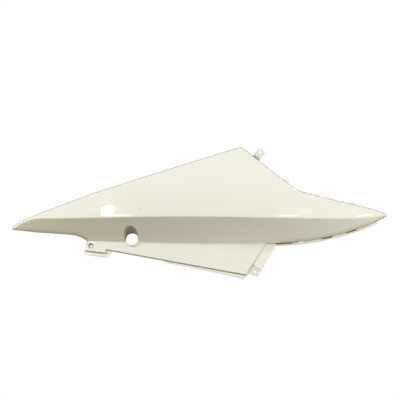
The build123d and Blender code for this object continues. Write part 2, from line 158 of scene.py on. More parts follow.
FRONT_RUN, REAR_RUN = FRONT_X - WIDEST_X, REAR_X - WIDEST_X
PLAN_B = (REAR_FALL / REAR_RUN**2 - FRONT_FALL / FRONT_RUN**2) / (REAR_RUN - FRONT_RUN)
PLAN_A = FRONT_FALL / FRONT_RUN**2 - PLAN_B * FRONT_RUN


def plan_fall(x):
    """How far the crease is set in from its widest point, seen from above."""
    run = x - WIDEST_X
    return PLAN_A * run**2 + PLAN_B * run**3 + NOSE_TURN * nose_share(x)**2


# the front screw's hole starts at the origin, at the bottom of its countersink
SCREW_BAND = (crease_z(0.0) - root_z(0.0)) * TILT
WIDEST_OUT = SINK_DEPTH * Q_SKIRT + SCREW_BAND - FLARE * root_z(0.0) + plan_fall(0.0)


def skirt(x, z, d=0.0):
    """How far the skirt stands out at (x, z), moved in by d along its normal."""
    zc, zr = crease_z(x), root_z(x)
    return WIDEST_OUT - plan_fall(x) - (zc - zr) * TILT + FLARE * (zr - z) - d * Q_SKIRT


def out(x, z, d=0.0):
    """How far the face stands out at (x, z), moved in by d along its normal."""
    x, z = np.asarray(x, float), np.asarray(z, float)
    crease_out, zc, zr = WIDEST_OUT - plan_fall(x), crease_z(x), root_z(x)
    rise = z - zc
    for _ in range(4):
        slope = LEAN + np.maximum(rise, CROWN_LOW) / CROWN
        rise = z - zc + d * slope / np.sqrt(1 + slope**2)
    slope = LEAN + np.maximum(rise, CROWN_LOW) / CROWN
    upper = crease_out - LEAN * rise - rise * np.abs(rise) / (2 * CROWN) - d / np.sqrt(1 + slope**2)
    band = crease_out - (zc - z) * TILT - d * Q_BAND
    # where the three faces, moved in, meet
    top_z = zc + d * (Q_BAND - Q_UP) / (TILT + LEAN)
    top_out = crease_out - LEAN * (top_z - zc) - d * Q_UP
    low_z = zr + d * (Q_BAND - Q_SKIRT) / (TILT + FLARE)
    low_out = crease_out - (zc - low_z) * TILT - d * Q_BAND
    face = np.where(z > top_z, upper, np.where(z > low_z, band, skirt(x, z, d)))
    # rounding of the crease
    r = max(CREASE_R - d, LEAST_R)
    shift = r * (Q_UP - Q_BAND) / (-LEAN - TILT)
    mid_z, mid_out = top_z + shift, top_out - LEAN * shift - r * Q_UP
    on = (z > mid_z - r * TILT / Q_BAND) & (z < mid_z + r * LEAN / Q_UP)
    face = np.where(on, mid_out + np.sqrt(np.maximum(r * r - (z - mid_z)**2, 0)), face)
    # rounding of the root
    r = ROOT_R + d
    shift = r * (Q_SKIRT - Q_BAND) / (TILT + FLARE)
    mid_z, mid_out = low_z + shift, low_out + TILT * shift + r * Q_BAND
    on = (z > mid_z - r * FLARE / Q_SKIRT) & (z < mid_z + r * TILT / Q_BAND)
    return np.where(on, mid_out - np.sqrt(np.maximum(r * r - (z - mid_z)**2, 0)), face)


def tail_edge_z(x):
    """Height of the band's lower edge behind the chin."""
    share = (x - CHIN[0]) / (TAIL_LOW[0] - CHIN[0])
    return CHIN[1] + (TAIL_LOW[1] - CHIN[1]) * (TAIL_SLOPE * share + (1 - TAIL_SLOPE) * share**2)


def curtain(x, z, d=0.0):
    """How far the rear lower lip stands out, which hangs straight down from the band's edge."""
    x = np.asarray(x, float)
    edge = np.maximum(tail_edge_z(x), root_z(x))
    return WIDEST_OUT - plan_fall(x) - (crease_z(x) - edge) * TILT - d + 0 * np.asarray(z, float)


def seat_on(surface, x, z, lift):
    """A point lifted off a surface at (x, z) along its normal, and that normal."""
    slope_x = (surface(x + SLOPE_REACH, z) - surface(x - SLOPE_REACH, z)) / (2 * SLOPE_REACH)
    slope_z = (surface(x, z + SLOPE_REACH) - surface(x, z - SLOPE_REACH)) / (2 * SLOPE_REACH)
    normal = unit(np.array([-slope_x, -1.0, -slope_z]))
    return np.array([x, -float(surface(x, z)), z]) + normal * lift, normal


# lines in side view
def arc3(start, middle, end, step=STEP):
    """Points on the arc through three points."""
    a, m, b = (np.array(point, float) for point in (start, middle, end))
    scale = 2 * (a[0] * (m[1] - b[1]) + m[0] * (b[1] - a[1]) + b[0] * (a[1] - m[1]))
    x = ((a @ a) * (m[1] - b[1]) + (m @ m) * (b[1] - a[1]) + (b @ b) * (a[1] - m[1])) / scale
    z = ((a @ a) * (b[0] - m[0]) + (m @ m) * (a[0] - b[0]) + (b @ b) * (m[0] - a[0])) / scale
    centre = np.array([x, z])
    radius = np.linalg.norm(a - centre)
    first, half_way, last = (math.atan2(*(point - centre)[::-1]) for point in (a, m, b))
    sweep = (last - first) % (2 * math.pi)
    if (half_way - first) % (2 * math.pi) > sweep:
        sweep -= 2 * math.pi
    count = max(2, int(abs(sweep) * radius / step))
    turn = first + sweep * np.linspace(0, 1, count + 1)
    points = centre + radius * np.stack([np.cos(turn), np.sin(turn)], -1)
    points[0], points[-1] = a, b
    return points


def tangent_arc(start, end, way, step=STEP):
    """Points on the arc between two points that leaves the first along way."""
    a, b, way = np.array(start, float), np.array(end, float), unit(np.array(way, float))
    chord = b - a
    side = np.array([-way[1], way[0]])
    curve = 2 * (chord @ side) / (chord @ chord)
    turn = 2 * math.atan2(chord @ side, chord @ way)
    middle = a + way * math.sin(turn / 2) / curve + side * (1 - math.cos(turn / 2)) / curve
    return arc3(a, middle, b, step)


def straight(start, end, step=STEP):
    """Points on the line between two points."""
    a, b = np.array(start, float), np.array(end, float)
    count = max(1, int(np.linalg.norm(b - a) / step))
    return a + (b - a) * np.linspace(0, 1, count + 1)[:, None]


def cut_back(line, length):
    """The rest of a line whose first length is cut off."""
    steps = np.linalg.norm(np.diff(line, axis=0), axis=1)
    run = np.concatenate([[0], np.cumsum(steps)])
    i = int(np.searchsorted(run, length))
    start = line[i - 1] + (line[i] - line[i - 1]) * ((length - run[i - 1]) / steps[i - 1])
    rest = line[i:] if np.linalg.norm(line[i] - start) > LEAST_REST else line[i + 1:]
    return np.vstack([start, rest]) if len(rest) else np.array([start])


def loop(edges, radii):
    """Points of a closed counter-clockwise line of edges, with a rounded corner where each of them starts."""
    edges = [np.array(edge) for edge in edges]
    corners = [None] * len(edges)
    for i, radius in enumerate(radii):
        if not radius:
            continue
        before, after = edges[i - 1], edges[i]
        way_in, way_out = unit(before[-1] - before[-2]), unit(after[1] - after[0])
        turn = math.atan2(way_in[0] * way_out[1] - way_in[1] * way_out[0], way_in @ way_out)
        length = radius * math.tan(abs(turn) / 2)
        edges[i] = cut_back(after, length)
        edges[i - 1] = cut_back(before[::-1], length)[::-1]
        start = edges[i - 1][-1]
        centre = start + np.array([-way_in[1], way_in[0]]) * math.copysign(1, turn) * radius
        x, z = start - centre
        corners[i] = []
        steps = max(2, int(abs(turn) / CORNER_TURN), int(abs(turn) * radius / STEP))
        for k in range(1, steps):
            c, s = math.cos(turn * k / steps), math.sin(turn * k / steps)
            corners[i].append(centre + np.array([c * x - s * z, s * x + c * z]))
    points = []
    for i, edge in enumerate(edges):
        if corners[i] is not None:
            points.extend(corners[i])
        points.extend(edge if corners[(i + 1) % len(edges)] is not None else edge[:-1])
    points = np.array(points)
    points = points[np.linalg.norm(points - np.roll(points, 1, axis=0), axis=1) > LEAST_SIDE]
    after = np.roll(points, -1, axis=0)
    area = 0.5 * np.sum(points[:, 0] * after[:, 1] - after[:, 0] * points[:, 1])
    return points if area > 0 else points[::-1]


def path(corners, radii, step=2.4):
    """Points of a closed line of straight runs with rounded corners."""
    return loop([straight(a, b, step) for a, b in zip(corners, corners[1:] + corners[:1])], radii)


def circle(centre, radius, sides=HOLE_SIDES):
    turn = np.linspace(0, 2 * math.pi, sides, endpoint=False)
    return np.array(centre) + radius * np.stack([np.cos(turn), np.sin(turn)], -1)


def inset(line, amount):
    """A counter-clockwise closed line moved in by an amount."""
    a = line - np.roll(line, 1, axis=0)
    b = np.roll(line, -1, axis=0) - line
    a /= np.linalg.norm(a, axis=1, keepdims=True)
    b /= np.linalg.norm(b, axis=1, keepdims=True)
    way = np.stack([-(a + b)[:, 1], (a + b)[:, 0]], -1)
    mitre = np.sum(way * np.stack([-a[:, 1], a[:, 0]], -1), axis=1, keepdims=True)
    return line + way / np.maximum(mitre, LEAST_MITRE) * amount


def sides_of(lines):
    """Each side of each closed line, as its two ends."""
    for line in lines:
        yield from zip(line, np.roll(line, -1, axis=0))


def inside(lines, points):
    """Which points lie in the area that closed lines bound, by counting crossings."""
    hit = np.zeros(len(points), bool)
    for a, b in sides_of(lines):
        if a[1] == b[1]:
            continue
        over = (a[1] > points[:, 1]) != (b[1] > points[:, 1])
        hit ^= over & (points[:, 0] < a[0] + (points[:, 1] - a[1]) * (b[0] - a[0]) / (b[1] - a[1]))
    return hit


def away(lines, points, gap):
    """Which points lie further than a gap from every closed line."""
    free = np.ones(len(points), bool)
    for a, b in sides_of(lines):
        low, high = np.minimum(a, b) - gap, np.maximum(a, b) + gap
        near = free & np.all((points > low) & (points < high), axis=1)
        if not near.any():
            continue
        off, side = points[near] - a, b - a
        share = np.clip(off @ side / (side @ side), 0, 1)
        free[near] = np.linalg.norm(off - share[:, None] * side, axis=1) > gap
    return free


# the mesh of one piece
class Form:
    """Points, faces and materials of one piece, in mm, with the shares of painted edge shade and of painted
    deep shade at its points.
    """

    def __init__(self):
        self.points, self.faces, self.materials = [], [], []
        self.edge, self.deep = {}, {}

    def put(self, points):
        """Adds points and gives their numbers."""
        first = len(self.points)
        self.points.extend(np.asarray(points, float).tolist())
        return np.arange(first, first + len(points))

    def add(self, face, material, flip):
        self.faces.append(face[::-1] if flip else face)
        self.materials.append(material)

    def mark(self, shares, rows, values):
        """Gives the points of each row their share of painted edge shade or of painted deep shade."""
        for row, value in zip(rows, values):
            shares.update((int(i), value) for i in row)

    def strip(self, rows, material=PAINT, flip=False):
        """Joins closed rows of points, each to the next."""
        for near, far in zip(rows, rows[1:]):
            for i in range(len(near)):
                j = (i + 1) % len(near)
                self.add((near[i], far[i], far[j], near[j]), material, flip)

    def fill(self, rows, grid, lift, material=PAINT, flip=False, gap=0.8):
        """Fills the area between closed rows, with those grid points inside it that keep a gap from them."""
        flat = [np.array([(self.points[i][0], self.points[i][2]) for i in row]) for row in rows]
        grid = grid[inside(flat, grid)]
        grid = grid[away(flat, grid, gap)]
        numbers = np.concatenate([np.concatenate(rows), self.put(lift(grid[:, 0], grid[:, 1]))])
        edges, start = [], 0
        for line in flat:
            count = len(line)
            edges += [(start + i, start + (i + 1) % count) for i in range(count)]
            start += count
        spots = [Vector(spot) for spot in np.vstack(flat + [grid])]
        spots, _, triangles, sources, _, _ = delaunay_2d_cdt(spots, edges, [], 0, 1e-7)
        triangles = np.array([triangle for triangle in triangles if len(triangle) == 3])
        spots = np.array([tuple(spot) for spot in spots])
        triangles = triangles[inside(flat, spots[triangles].mean(axis=1))]
        place = []
        for spot, source in zip(spots, sources):
            place.append(numbers[source[0]] if source else self.put(lift(spot[:1], spot[1:]))[0])
        for triangle in triangles:
            face = tuple(int(place[i]) for i in triangle)
            if len(set(face)) == 3:
                self.add(face, material, flip)

    def build(self, name):
        """The Blender object, in metres."""
        mesh = bpy.data.meshes.new(name)
        faces = [tuple(int(i) for i in face) for face in self.faces]
        mesh.from_pydata((np.array(self.points) / MM).tolist(), [], faces)
        mesh.polygons.foreach_set("material_index", self.materials)
        for label, shares in (("edge", self.edge), ("deep", self.deep)):
            layer = mesh.attributes.new(label, "FLOAT", "POINT")
            layer.data.foreach_set("value", [shares.get(i, 0.0) for i in range(len(self.points))])
        mesh.validate()
        mesh.shade_smooth()
        mesh.set_sharp_from_angle(angle=SMOOTH_TURN)
        thing = bpy.data.objects.new(name, mesh)
        bpy.context.scene.collection.objects.link(thing)
        return thing


def raised(surface, d=0.0, back=0.0):
    """What sets points (x, z) on a surface moved in by d, and then moves them back."""
    return lambda x, z: np.stack([x, back - surface(x, z, d), z], -1)


def placed(form, line, surface, d=0.0, back=0.0):
    """The row of a form's points where a line lies on a surface."""
    return form.put(raised(surface, d, back)(line[:, 0], line[:, 1]))


def quarter(steps):
    """How far in and how far back the points of a quarter round lie, as shares of its radius."""
    turns = [math.pi / 2 * k / steps for k in range(steps + 1)]
    return [(1 - math.sin(turn), 1 - math.cos(turn)) for turn in turns]


def rolled(form, line, surface, d, radius, steps):
    """Rows of a rounded front edge, from the face outwards."""
    return [placed(form, inset(line, radius * inward), surface, d, radius * back)
            for inward, back in quarter(steps)]


def face_grid(step):
    """Grid points in columns, whose rows follow the crease and the root and crowd where the face turns."""
    x = np.arange(FACE_LOW[0], FACE_HIGH[0], step)
    zc, zr = crease_z(x), root_z(x)
    band_top, band_low = zc + NEAR_CREASE[0], NEAR_ROOT[-1]
    rows = [zc + gap for gap in NEAR_CREASE]
    rows += [zc + NEAR_CREASE[-1] + ROW_STEP * k for k in range(1, ROWS_ABOVE)]
    rows += [zr + gap for gap in NEAR_ROOT]
    rows += [zr + band_low + (band_top - zr - band_low) * share
             for share in np.linspace(0, 1, ROWS_BETWEEN)[1:-1]]
    rows += [zr + NEAR_ROOT[0] - ROW_STEP * k for k in range(1, ROWS_BELOW)]
    grid = np.stack([np.tile(x, len(rows)), np.concatenate(rows)], -1)
    return grid[(grid[:, 1] > FACE_LOW[1]) & (grid[:, 1] < FACE_HIGH[1])]


def square_grid(line, step):
    """Grid points in the box round a line."""
    low, high = line.min(axis=0), line.max(axis=0)
    x, z = np.meshgrid(np.arange(low[0], high[0], step), np.arange(low[1], high[1], step))
    return np.stack([x.ravel(), z.ravel()], -1)


def plate(form, line, surface, front, back, edge=0.7, step=2.4, holes=()):
    """A plate between two depths of a surface, with rounded edges and with holes cut straight through."""
    rows = rolled(form, line, surface, front, edge, 4)
    for lift, inward in quarter(2):
        rows.append(placed(form, inset(line, BACK_EDGE * inward), surface, back, -BACK_EDGE * lift))
    form.strip(rows[:5], PAINT)
    form.strip(rows[4:], PLASTIC)
    # painted shade along the plate's rounded front edge and down its side
    form.mark(form.edge, rows[1:6], PLATE_EDGE_SHADE)
    form.mark(form.deep, rows[1:6], PLATE_DEEP)
    tops, unders = [rows[0]], [rows[-1]]
    for hole in holes:
        tops.append(placed(form, hole, surface, front))
        unders.append(placed(form, hole, surface, back))
        form.strip([tops[-1], unders[-1]], PAINT, flip=True)
    grid = square_grid(line, step)
    form.fill(tops, grid, raised(surface, front), PAINT, gap=0.6)
    form.fill(unders, grid, raised(surface, back), PLASTIC, flip=True, gap=0.6)


def around(centre, axis, level, radius, sides):
    """Points round an axis. Their height along it and distance from it may change on the way round."""
    axis = unit(np.array(axis, float))
    right = unit(np.array([1.0, 0, 0]) - axis[0] * axis)
    turn = np.linspace(0, 2 * math.pi, sides, endpoint=False)
    way = np.cos(turn)[:, None] * right + np.sin(turn)[:, None] * np.cross(axis, right)
    level, radius = np.broadcast_to(level, sides)[:, None], np.broadcast_to(radius, sides)[:, None]
    return np.array(centre) + axis * level + way * radius


def spun(form, centre, axis, section, sides, material=PAINT):
    """A ring turned about an axis from a closed section of (radius, height) points."""
    rows = [form.put(around(centre, axis, level, radius, sides)) for radius, level in section]
    form.strip(rows + rows[:1], material)
    return rows


def widening(radius, slope):
    """What gives the radius of a hole at a height along its axis."""
    return lambda level: radius + slope * np.maximum(level, 0)


def crossing(centre, axis, radius_at, d, sides):
    """Where a hole meets the face moved in by d, as heights along its axis and points."""
    low, high = np.full(sides, AXIS_LOW), np.full(sides, AXIS_HIGH)
    for _ in range(40):
        level = (low + high) / 2
        spot = around(centre, axis, level, radius_at(level), sides)
        proud = spot[:, 1] + out(spot[:, 0], spot[:, 2], d) < 0
        high, low = np.where(proud, level, high), np.where(proud, low, level)
    level = (low + high) / 2
    return level, around(centre, axis, level, radius_at(level), sides)


def mouth(form, centre, axis, radius_at, under_at, edge, sides, deep):
    """A hole's rolled mouth and wall, in painted shade that deepens into the hole. Gives its rows in the
    outer and the inner skin.
    """
    level, corner = crossing(centre, axis, radius_at, 0.0, sides)
    _, lip = crossing(centre, axis, lambda height: radius_at(height) + edge, 0.0, sides)
    level = np.maximum(level - edge, 0.0)
    wall = around(centre, axis, level, radius_at(level), sides)
    rows = [form.put(lip)]
    for share in (k / 5 for k in range(1, 6)):
        rows.append(form.put((1 - share)**2 * lip + 2 * share * (1 - share) * corner + share * share * wall))
    for k in range(1, 5):
        here = level * (1 - k / 4)
        rows.append(form.put(around(centre, axis, here, radius_at(here), sides)))
    form.strip(rows, PAINT, flip=True)
    form.mark(form.deep, rows, [deep * min(1.0, k / 3) for k in range(len(rows))])
    _, under = crossing(centre, axis, under_at, WALL, sides)
    return rows[0], form.put(under)


# the painted face's outline
brow = arc3(NOSE_TOP, BROW_MID, BROW_TOP)
nose = tangent_arc(NOSE_TOP, FRONT_TIP, brow[0] - brow[1], TIP_STEP)[::-1]
face_edges = [
    (nose, TIP_R), (brow, 0), (arc3(BROW_TOP, RIDGE_MID, APEX), 0), (straight(APEX, BEND), APEX_R),
    (straight(BEND, DIP), BEND_R), (straight(DIP, SHOULDER), DIP_R),
    (straight(SHOULDER, REAR_TIP), SHOULDER_R), (straight(REAR_TIP, TAIL_LOW, FINE_STEP), TIP_R),
    (arc3(TAIL_LOW, TAIL_MID, CHIN), CORNER_R),
    (straight(CHIN, FLANGE_TOP), 0), (straight(FLANGE_TOP, SKIRT_TAIL), FLANGE_TOP_R),
    (straight(SKIRT_TAIL, SKIRT_FRONT), CORNER_R), (straight(SKIRT_FRONT, NOTCH_TOP), 0),
    (straight(NOTCH_TOP, NOTCH_LOW, FINE_STEP), NOTCH_TOP_R), (straight(NOTCH_LOW, TOE_LOW), NOTCH_LOW_R),
    (straight(TOE_LOW, TOE_TOP, FINE_STEP), CORNER_R), (arc3(TOE_TOP, TOE_MID, HEEL), CORNER_R),
    (straight(HEEL, THROAT), 0), (arc3(THROAT, JAW_MID, FRONT_TIP), 0)]
face_loop = loop([edge for edge, _ in face_edges], [radius for _, radius in face_edges])


def painted_shell():
    """Rim, side wall, return flange and skin, with the front screw's hole and the seat lock's pocket."""
    form = Form()
    rim = rolled(form, face_loop, out, 0.0, RIM_R, 8)
    wall_rows = side_wall(form, rim[-1])
    form.strip(rim)
    form.strip(wall_rows[:3], PAINT)
    form.strip(wall_rows[2:], PLASTIC)
    # painted shade along the rim's roll and down the side wall
    form.mark(form.edge, rim[2:] + wall_rows[1:3], RIM_EDGE_SHADE)
    form.mark(form.deep, rim[2:] + wall_rows[1:3], RIM_DEEP)

    _, screw_way = seat_on(skirt, 0.0, 0.0, 0.0)
    lock_way = unit(np.array(LOCK_AXIS))
    lock_seat, _ = seat_on(skirt, *LOCK_AT, LOCK_RAISE)
    lock_top, lock_under = mouth(form, lock_seat, lock_way, widening(POCKET_R, DRAFT),
                                 widening(POCKET_UNDER_R, DRAFT), POCKET_EDGE, LOCK_SIDES, POCKET_DEEP)
    sink_top, sink_under = mouth(form, (0, 0, 0), screw_way, widening(SCREW_R, SINK),
                                 widening(SINK_UNDER_R, 0.0), SINK_EDGE, SCREW_SIDES, SINK_DEEP)
    first = len(form.points)
    form.fill([rim[0], lock_top, sink_top], face_grid(OUTER_STEP), raised(out), PAINT)
    darken_low_edge(form, [*rim[0], *rim[1], *range(first, len(form.points))])
    inner_rows = [wall_rows[-1], lock_under, sink_under]
    form.fill(inner_rows, face_grid(INNER_STEP), raised(out, WALL), PLASTIC, flip=True)
    lock_tube(form, lock_seat, lock_way)
    screw_boss(form, screw_way)
    return form


def side_wall(form, rim_end):
    """Rows from the rim back to the return flange, round its edge and up its inner side."""
    x, z = face_loop[:, 0], face_loop[:, 1]
    start, end = RIM_R - out(x, z), -0.4 - out(x, z, FLANGE)
    rows = [rim_end]
    for share in (0.33, 0.66):
        rows.append(form.put(np.stack([x, start + (end - start) * share, z], -1)))
    for amount, back in ((0.0, -0.4), (0.12, -0.12), (0.4, 0.0), (2.1, 0.0), (2.38, -0.12), (WALL, -0.4)):
        rows.append(placed(form, inset(face_loop, amount), out, FLANGE, back))
    rows.append(placed(form, inset(face_loop, WALL), out, WALL))
    return rows


def darken_low_edge(form, numbers):
    """Painted shade: the band's lower edge turns darker over its last few millimetres."""
    x, z = face_loop[:, 0], face_loop[:, 1]
    low_edge = face_loop[(z > root_z(x) + 1) & (z < crease_z(x) - 1) & (x < LOW_EDGE_END)]
    for i in numbers:
        x, _, z = form.points[i]
        if z >= crease_z(x) - 2:
            continue
        gap = np.min(np.hypot(low_edge[:, 0] - x, low_edge[:, 1] - z))
        if gap < LOW_EDGE_WIDE:
            form.edge[int(i)] = LOW_EDGE_SHADE * (1 - gap / LOW_EDGE_WIDE)**LOW_EDGE_FADE


def lock_tube(form, centre, way):
    """The ring round the lock's hole, its bore in full painted shade, and the tube behind the pocket."""
    ring = [(LOCK_R, 0.4 - LOCK_BACK), (LOCK_R, -0.5), (LOCK_R + 0.1, -0.1), (LOCK_R + 0.3, 0),
            (TUBE_R - 0.6, 0), (TUBE_R - 0.18, -0.18), (TUBE_R, -0.6), (TUBE_R, 0.4 - LOCK_BACK),
            (TUBE_R - 0.4, -LOCK_BACK), (LOCK_R + 0.4, -LOCK_BACK)]
    form.mark(form.deep, spun(form, centre, way, ring, LOCK_SIDES), (1.0, 1.0, 1.0))
    radius_at = widening(TUBE_R, DRAFT)
    end, _ = crossing(centre, way, radius_at, WALL * 0.6, LOCK_SIDES)
    rows = []
    for k in range(7):
        level = (np.maximum(end, -1.0) + 1.0) * k / 6 - 1.0
        rows.append(form.put(around(centre, way, level, radius_at(level), LOCK_SIDES)))
    form.strip(rows, PLASTIC, flip=True)


def screw_boss(form, way):
    """The front screw's bore and the boss behind it."""
    high = BOSS_DEPTH - SINK_DEPTH
    section = [(SCREW_R, 0), (SCREW_R, 0.3 - high), (SCREW_R + 0.3, -high), (BOSS_R - 0.4, -high),
               (BOSS_R, 0.4 - high), (BOSS_R, 0.2)]
    form.mark(form.deep, spun(form, (0, 0, 0), way, section, SCREW_SIDES, PLASTIC), (1.0, 1.0))


def pad(form, centre, way):
    """The raised pad round a screw's hole, whose bore is in full painted shade."""
    section = [(SCREW_R, 0.15 - WALL), (SCREW_R, PAD_HIGH - 0.2), (SCREW_R + 0.2, PAD_HIGH),
               (PAD_R - 0.4, PAD_HIGH), (PAD_R, PAD_HIGH - 0.4), (PAD_R, -WALL), (SCREW_R + 0.15, -WALL)]
    form.mark(form.deep, spun(form, centre, way, section, SCREW_SIDES), (1.0, 1.0))


def rear_flange():
    """The skirt's rear flange, and its screw seat, which is set in again."""
    form = Form()
    plate(form, path(FLANGE_LINE, FLANGE_RADII), out, FLANGE_STEP, FLANGE_BACK, edge=0.5)
    hole = circle(SEAT_AT, PAD_HOLE)
    plate(form, path(SEAT_LINE, SEAT_RADII), skirt, SEAT_STEP, SEAT_BACK, edge=0.5, holes=[hole])
    pad(form, *seat_on(skirt, *SEAT_AT, -SEAT_STEP))
    return form


def below(start, end, x, drop):
    """The point at x on the line through two points, lowered."""
    return (x, start[1] + (end[1] - start[1]) / (end[0] - start[0]) * (x - start[0]) - drop)


def lower_lips():
    """The lips under the toe and the skirt, set back from the face."""
    form = Form()
    corners = [below(TOE_LOW, NOTCH_LOW, x, drop) for x, drop in TOE_LIP]
    corners += [below(SKIRT_FRONT, SKIRT_TAIL, x, drop) for x, drop in SKIRT_LIP]
    corners.append(below(TOE_LOW, NOTCH_LOW, *TOE_LIP_END))
    line = path(corners, [LIP_CORNER_R if i in (2, 3, 9) else 0 for i in range(len(corners))])
    plate(form, line, out, LIP_STEP, LIP_STEP + WALL, edge=0.6)
    return form


def tail_line(shift, start, end):
    """Points along the band's lower edge between two x, shifted up."""
    arc = arc3(CHIN, TAIL_MID, TAIL_LOW, 1.0)
    x = np.linspace(start, end, max(2, int(abs(end - start) / 2)))
    return np.stack([x, np.interp(x, arc[:, 0], arc[:, 1]) + shift], -1)


def tail_strip(above, under, start, end, slant=0.0):
    """A closed line that follows the band's lower edge on both sides."""
    low, top = tail_line(-under, start, end), tail_line(above, end + slant, start)
    return loop([low, straight(low[-1], top[0], 1.0), top, straight(top[-1], low[0], 1.0)], [0, 0, 0, 0])


def rear_lip():
    """The lip under the rear of the band, with its blind slots and the open slot."""
    form = Form()
    slots = [tail_strip(SLOT_ABOVE, SLOT_BELOW, middle - length / 2, middle + length / 2)
             for middle, length in BLIND_SLOTS + (OPEN_SLOT,)]
    line = tail_strip(TAIL_LIP_LAP, TAIL_LIP_HIGH, *TAIL_LIP_X, TAIL_LIP_SLANT)
    plate(form, line, curtain, LIP_STEP, LIP_STEP + WALL, edge=0.5, step=1.6, holes=slots)
    case_end = SLOT_END + SLOT_WALL
    for (middle, length), slot in zip(BLIND_SLOTS, slots):
        case = tail_strip(CASE_ABOVE, SLOT_BELOW + SLOT_WALL, middle - length / 2 - SLOT_WALL,
                          middle + length / 2 + SLOT_WALL)
        cup_rows = [placed(form, slot, curtain, d) for d in (CUP_START, SLOT_END)]
        case_rows = [placed(form, case, curtain, d) for d in (CASE_START, case_end)]
        # the blind slots' cups are in full painted shade
        form.mark(form.deep, cup_rows, (1.0, 1.0))
        form.strip(cup_rows, PAINT, flip=True)
        form.strip(case_rows, PLASTIC)
        form.fill(cup_rows[1:], square_grid(slot, SLOT_GRID), raised(curtain, SLOT_END), PAINT)
        form.fill(case_rows[1:], square_grid(case, SLOT_GRID), raised(curtain, case_end), PLASTIC, flip=True)
    return form


TAB_BASE = TAB_DROP - float(out(*TAB_ROOT))


def tab_out(x, z, d=0.0):
    """How far the tab stands out: up a ramp from its foot, then level."""
    along = (x - TAB_ROOT[0]) * TAB_WAY[0] + (z - TAB_ROOT[1]) * TAB_WAY[1] - RAMP_LAG * d
    return np.clip((along - TAB_FOOT) / RAMP_RUN, 0, TAB_LIFT) - TAB_BASE - d


def tab_point(along, across):
    return tuple(np.array(TAB_ROOT) + along * np.array(TAB_WAY) + across * np.array(EDGE_WAY))


def top_tab():
    """The screw tab on the upper rear edge, with its ramp and pad."""
    form = Form()
    hole, half = tab_point(TAB_HOLE, 0), TAB_WIDE / 2
    corners = [tab_point(-TAB_LAP, -half), tab_point(-TAB_LAP, half), tab_point(TAB_LONG, half),
               tab_point(TAB_LONG, -half)]
    plate(form, path(corners, [0, 0, TAB_CORNER, TAB_CORNER], 1.0), tab_out, 0.0, WALL,
          edge=0.6, step=0.9, holes=[circle(hole, PAD_HOLE)])
    pad(form, (hole[0], TAB_BASE - TAB_LIFT, hole[1]), (0, -1, 0))
    return form


def tongues():
    """The push-in tongues on the upper rear edge."""
    form = Form()
    edge = face_loop[(face_loop > UPPER_REAR).all(axis=1)]
    edge = edge[np.argsort(edge[:, 0])]
    for x, wide, high, front, rear in TONGUES:
        z_front, z_rear = np.interp([x - 2, x + 2], edge[:, 0], edge[:, 1])
        way = np.array([4.0, z_rear - z_front]) / np.hypot(4.0, z_rear - z_front)
        up, base, half = np.array([-way[1], way[0]]), np.array([x, (z_front + z_rear) / 2]), wide / 2
        corners = [(-half, -TONGUE_LAP), (half, -TONGUE_LAP), (half, 0), (half - rear, high),
                   (front - half, high), (-half, 0)]
        line = path([tuple(base + along * way + rise * up) for along, rise in corners],
                    [0, 0, 0.5, 0.4, 0.4, 0.5], 1.2)
        plate(form, line, out, TONGUE_STEP, TONGUE_STEP + WALL, edge=0.5, step=1.5)
    return form


def fit_in_box(forms):
    """Moves every point, in proportion, inside the box of the solids."""
    points = np.vstack([form.points for form in forms])
    low, high = points.min(axis=0), points.max(axis=0)
    new_low = np.maximum(low, np.array(cad_box[0]) * MM + BOX_MARGIN)
    new_high = np.minimum(high, np.array(cad_box[1]) * MM - BOX_MARGIN)
    for form in forms:
        form.points = new_low + (np.array(form.points) - low) * (new_high - new_low) / (high - low)


forms = {"painted_shell": painted_shell(), "rear_flange": rear_flange(), "lower_lips": lower_lips(),
         "tail_lip": rear_lip(), "top_tab": top_tab(), "tongues": tongues()}
fit_in_box(forms.values())
pieces = [form.build(name) for name, form in forms.items()]

# tones, and what the paint does with them
IVORY_A, IVORY_B = (0.847, 0.875, 0.798, 1), (0.827, 0.858, 0.775, 1)
# EDGE_TONE is painted shade along rounded edges; DEEP_TONE is painted shade in recesses and bores, and also
# the colour of the speck
EDGE_TONE, DEEP_TONE = (0.3, 0.265, 0.18, 1), (0.11, 0.085, 0.035, 1)
PLASTIC_A, PLASTIC_B = (0.66, 0.65, 0.56, 1), (0.6, 0.59, 0.5, 1)
NOISE_LOW, NOISE_HIGH = 0.3, 0.7  # the part of a noise's range that is used
PAINT_ROUGH, PLASTIC_ROUGH = (0.03, 0.045), (0.45, 0.6)
# roughness added in the painted deep shade and along the painted edge shade
DEEP_DULL, EDGE_SHADE_DULL = 0.5, 0.25
SPECULAR = (0.5, 0.1)  # in the open and in the deepest shade
SPECK_AT, SPECK_SHARE = (0.097, -0.045, 0.0752), 0.4  # in metres, and how dark it is
SPECK_SCALE = (1100.0, 0.0, 360.0)  # one over its half width and half height in metres


def node_maker(tree):
    """What makes nodes in a tree, with inputs linked or set by name or number."""
    def make(kind, links=(), **values):
        node = tree.nodes.new(kind)
        for key, value in values.items():
            setattr(node, key, value)
        for where, what in dict(links).items():
            if isinstance(what, bpy.types.NodeSocket):
                tree.links.new(what, node.inputs[where])
            else:
                node.inputs[where].default_value = what
        return node
    return make


def fresh(name):
    """A new material, what makes nodes in it, and what links a value to its shader."""
    made = bpy.data.materials.new(name)
    made.use_nodes = True
    shader = made.node_tree.nodes["Principled BSDF"]

    def link(where, what):
        made.node_tree.links.new(what, shader.inputs[where])
    return made, node_maker(made.node_tree), link


def ramp(make, value, low, high, to_low=0.0, to_high=1.0):
    ends = {0: value, 1: low, 2: high, 3: to_low, 4: to_high}
    return make("ShaderNodeMapRange", ends, interpolation_type="SMOOTHSTEP").outputs[0]


def blend(make, share, a, b):
    return make("ShaderNodeMix", {0: share, 6: a, 7: b}, data_type="RGBA").outputs[2]


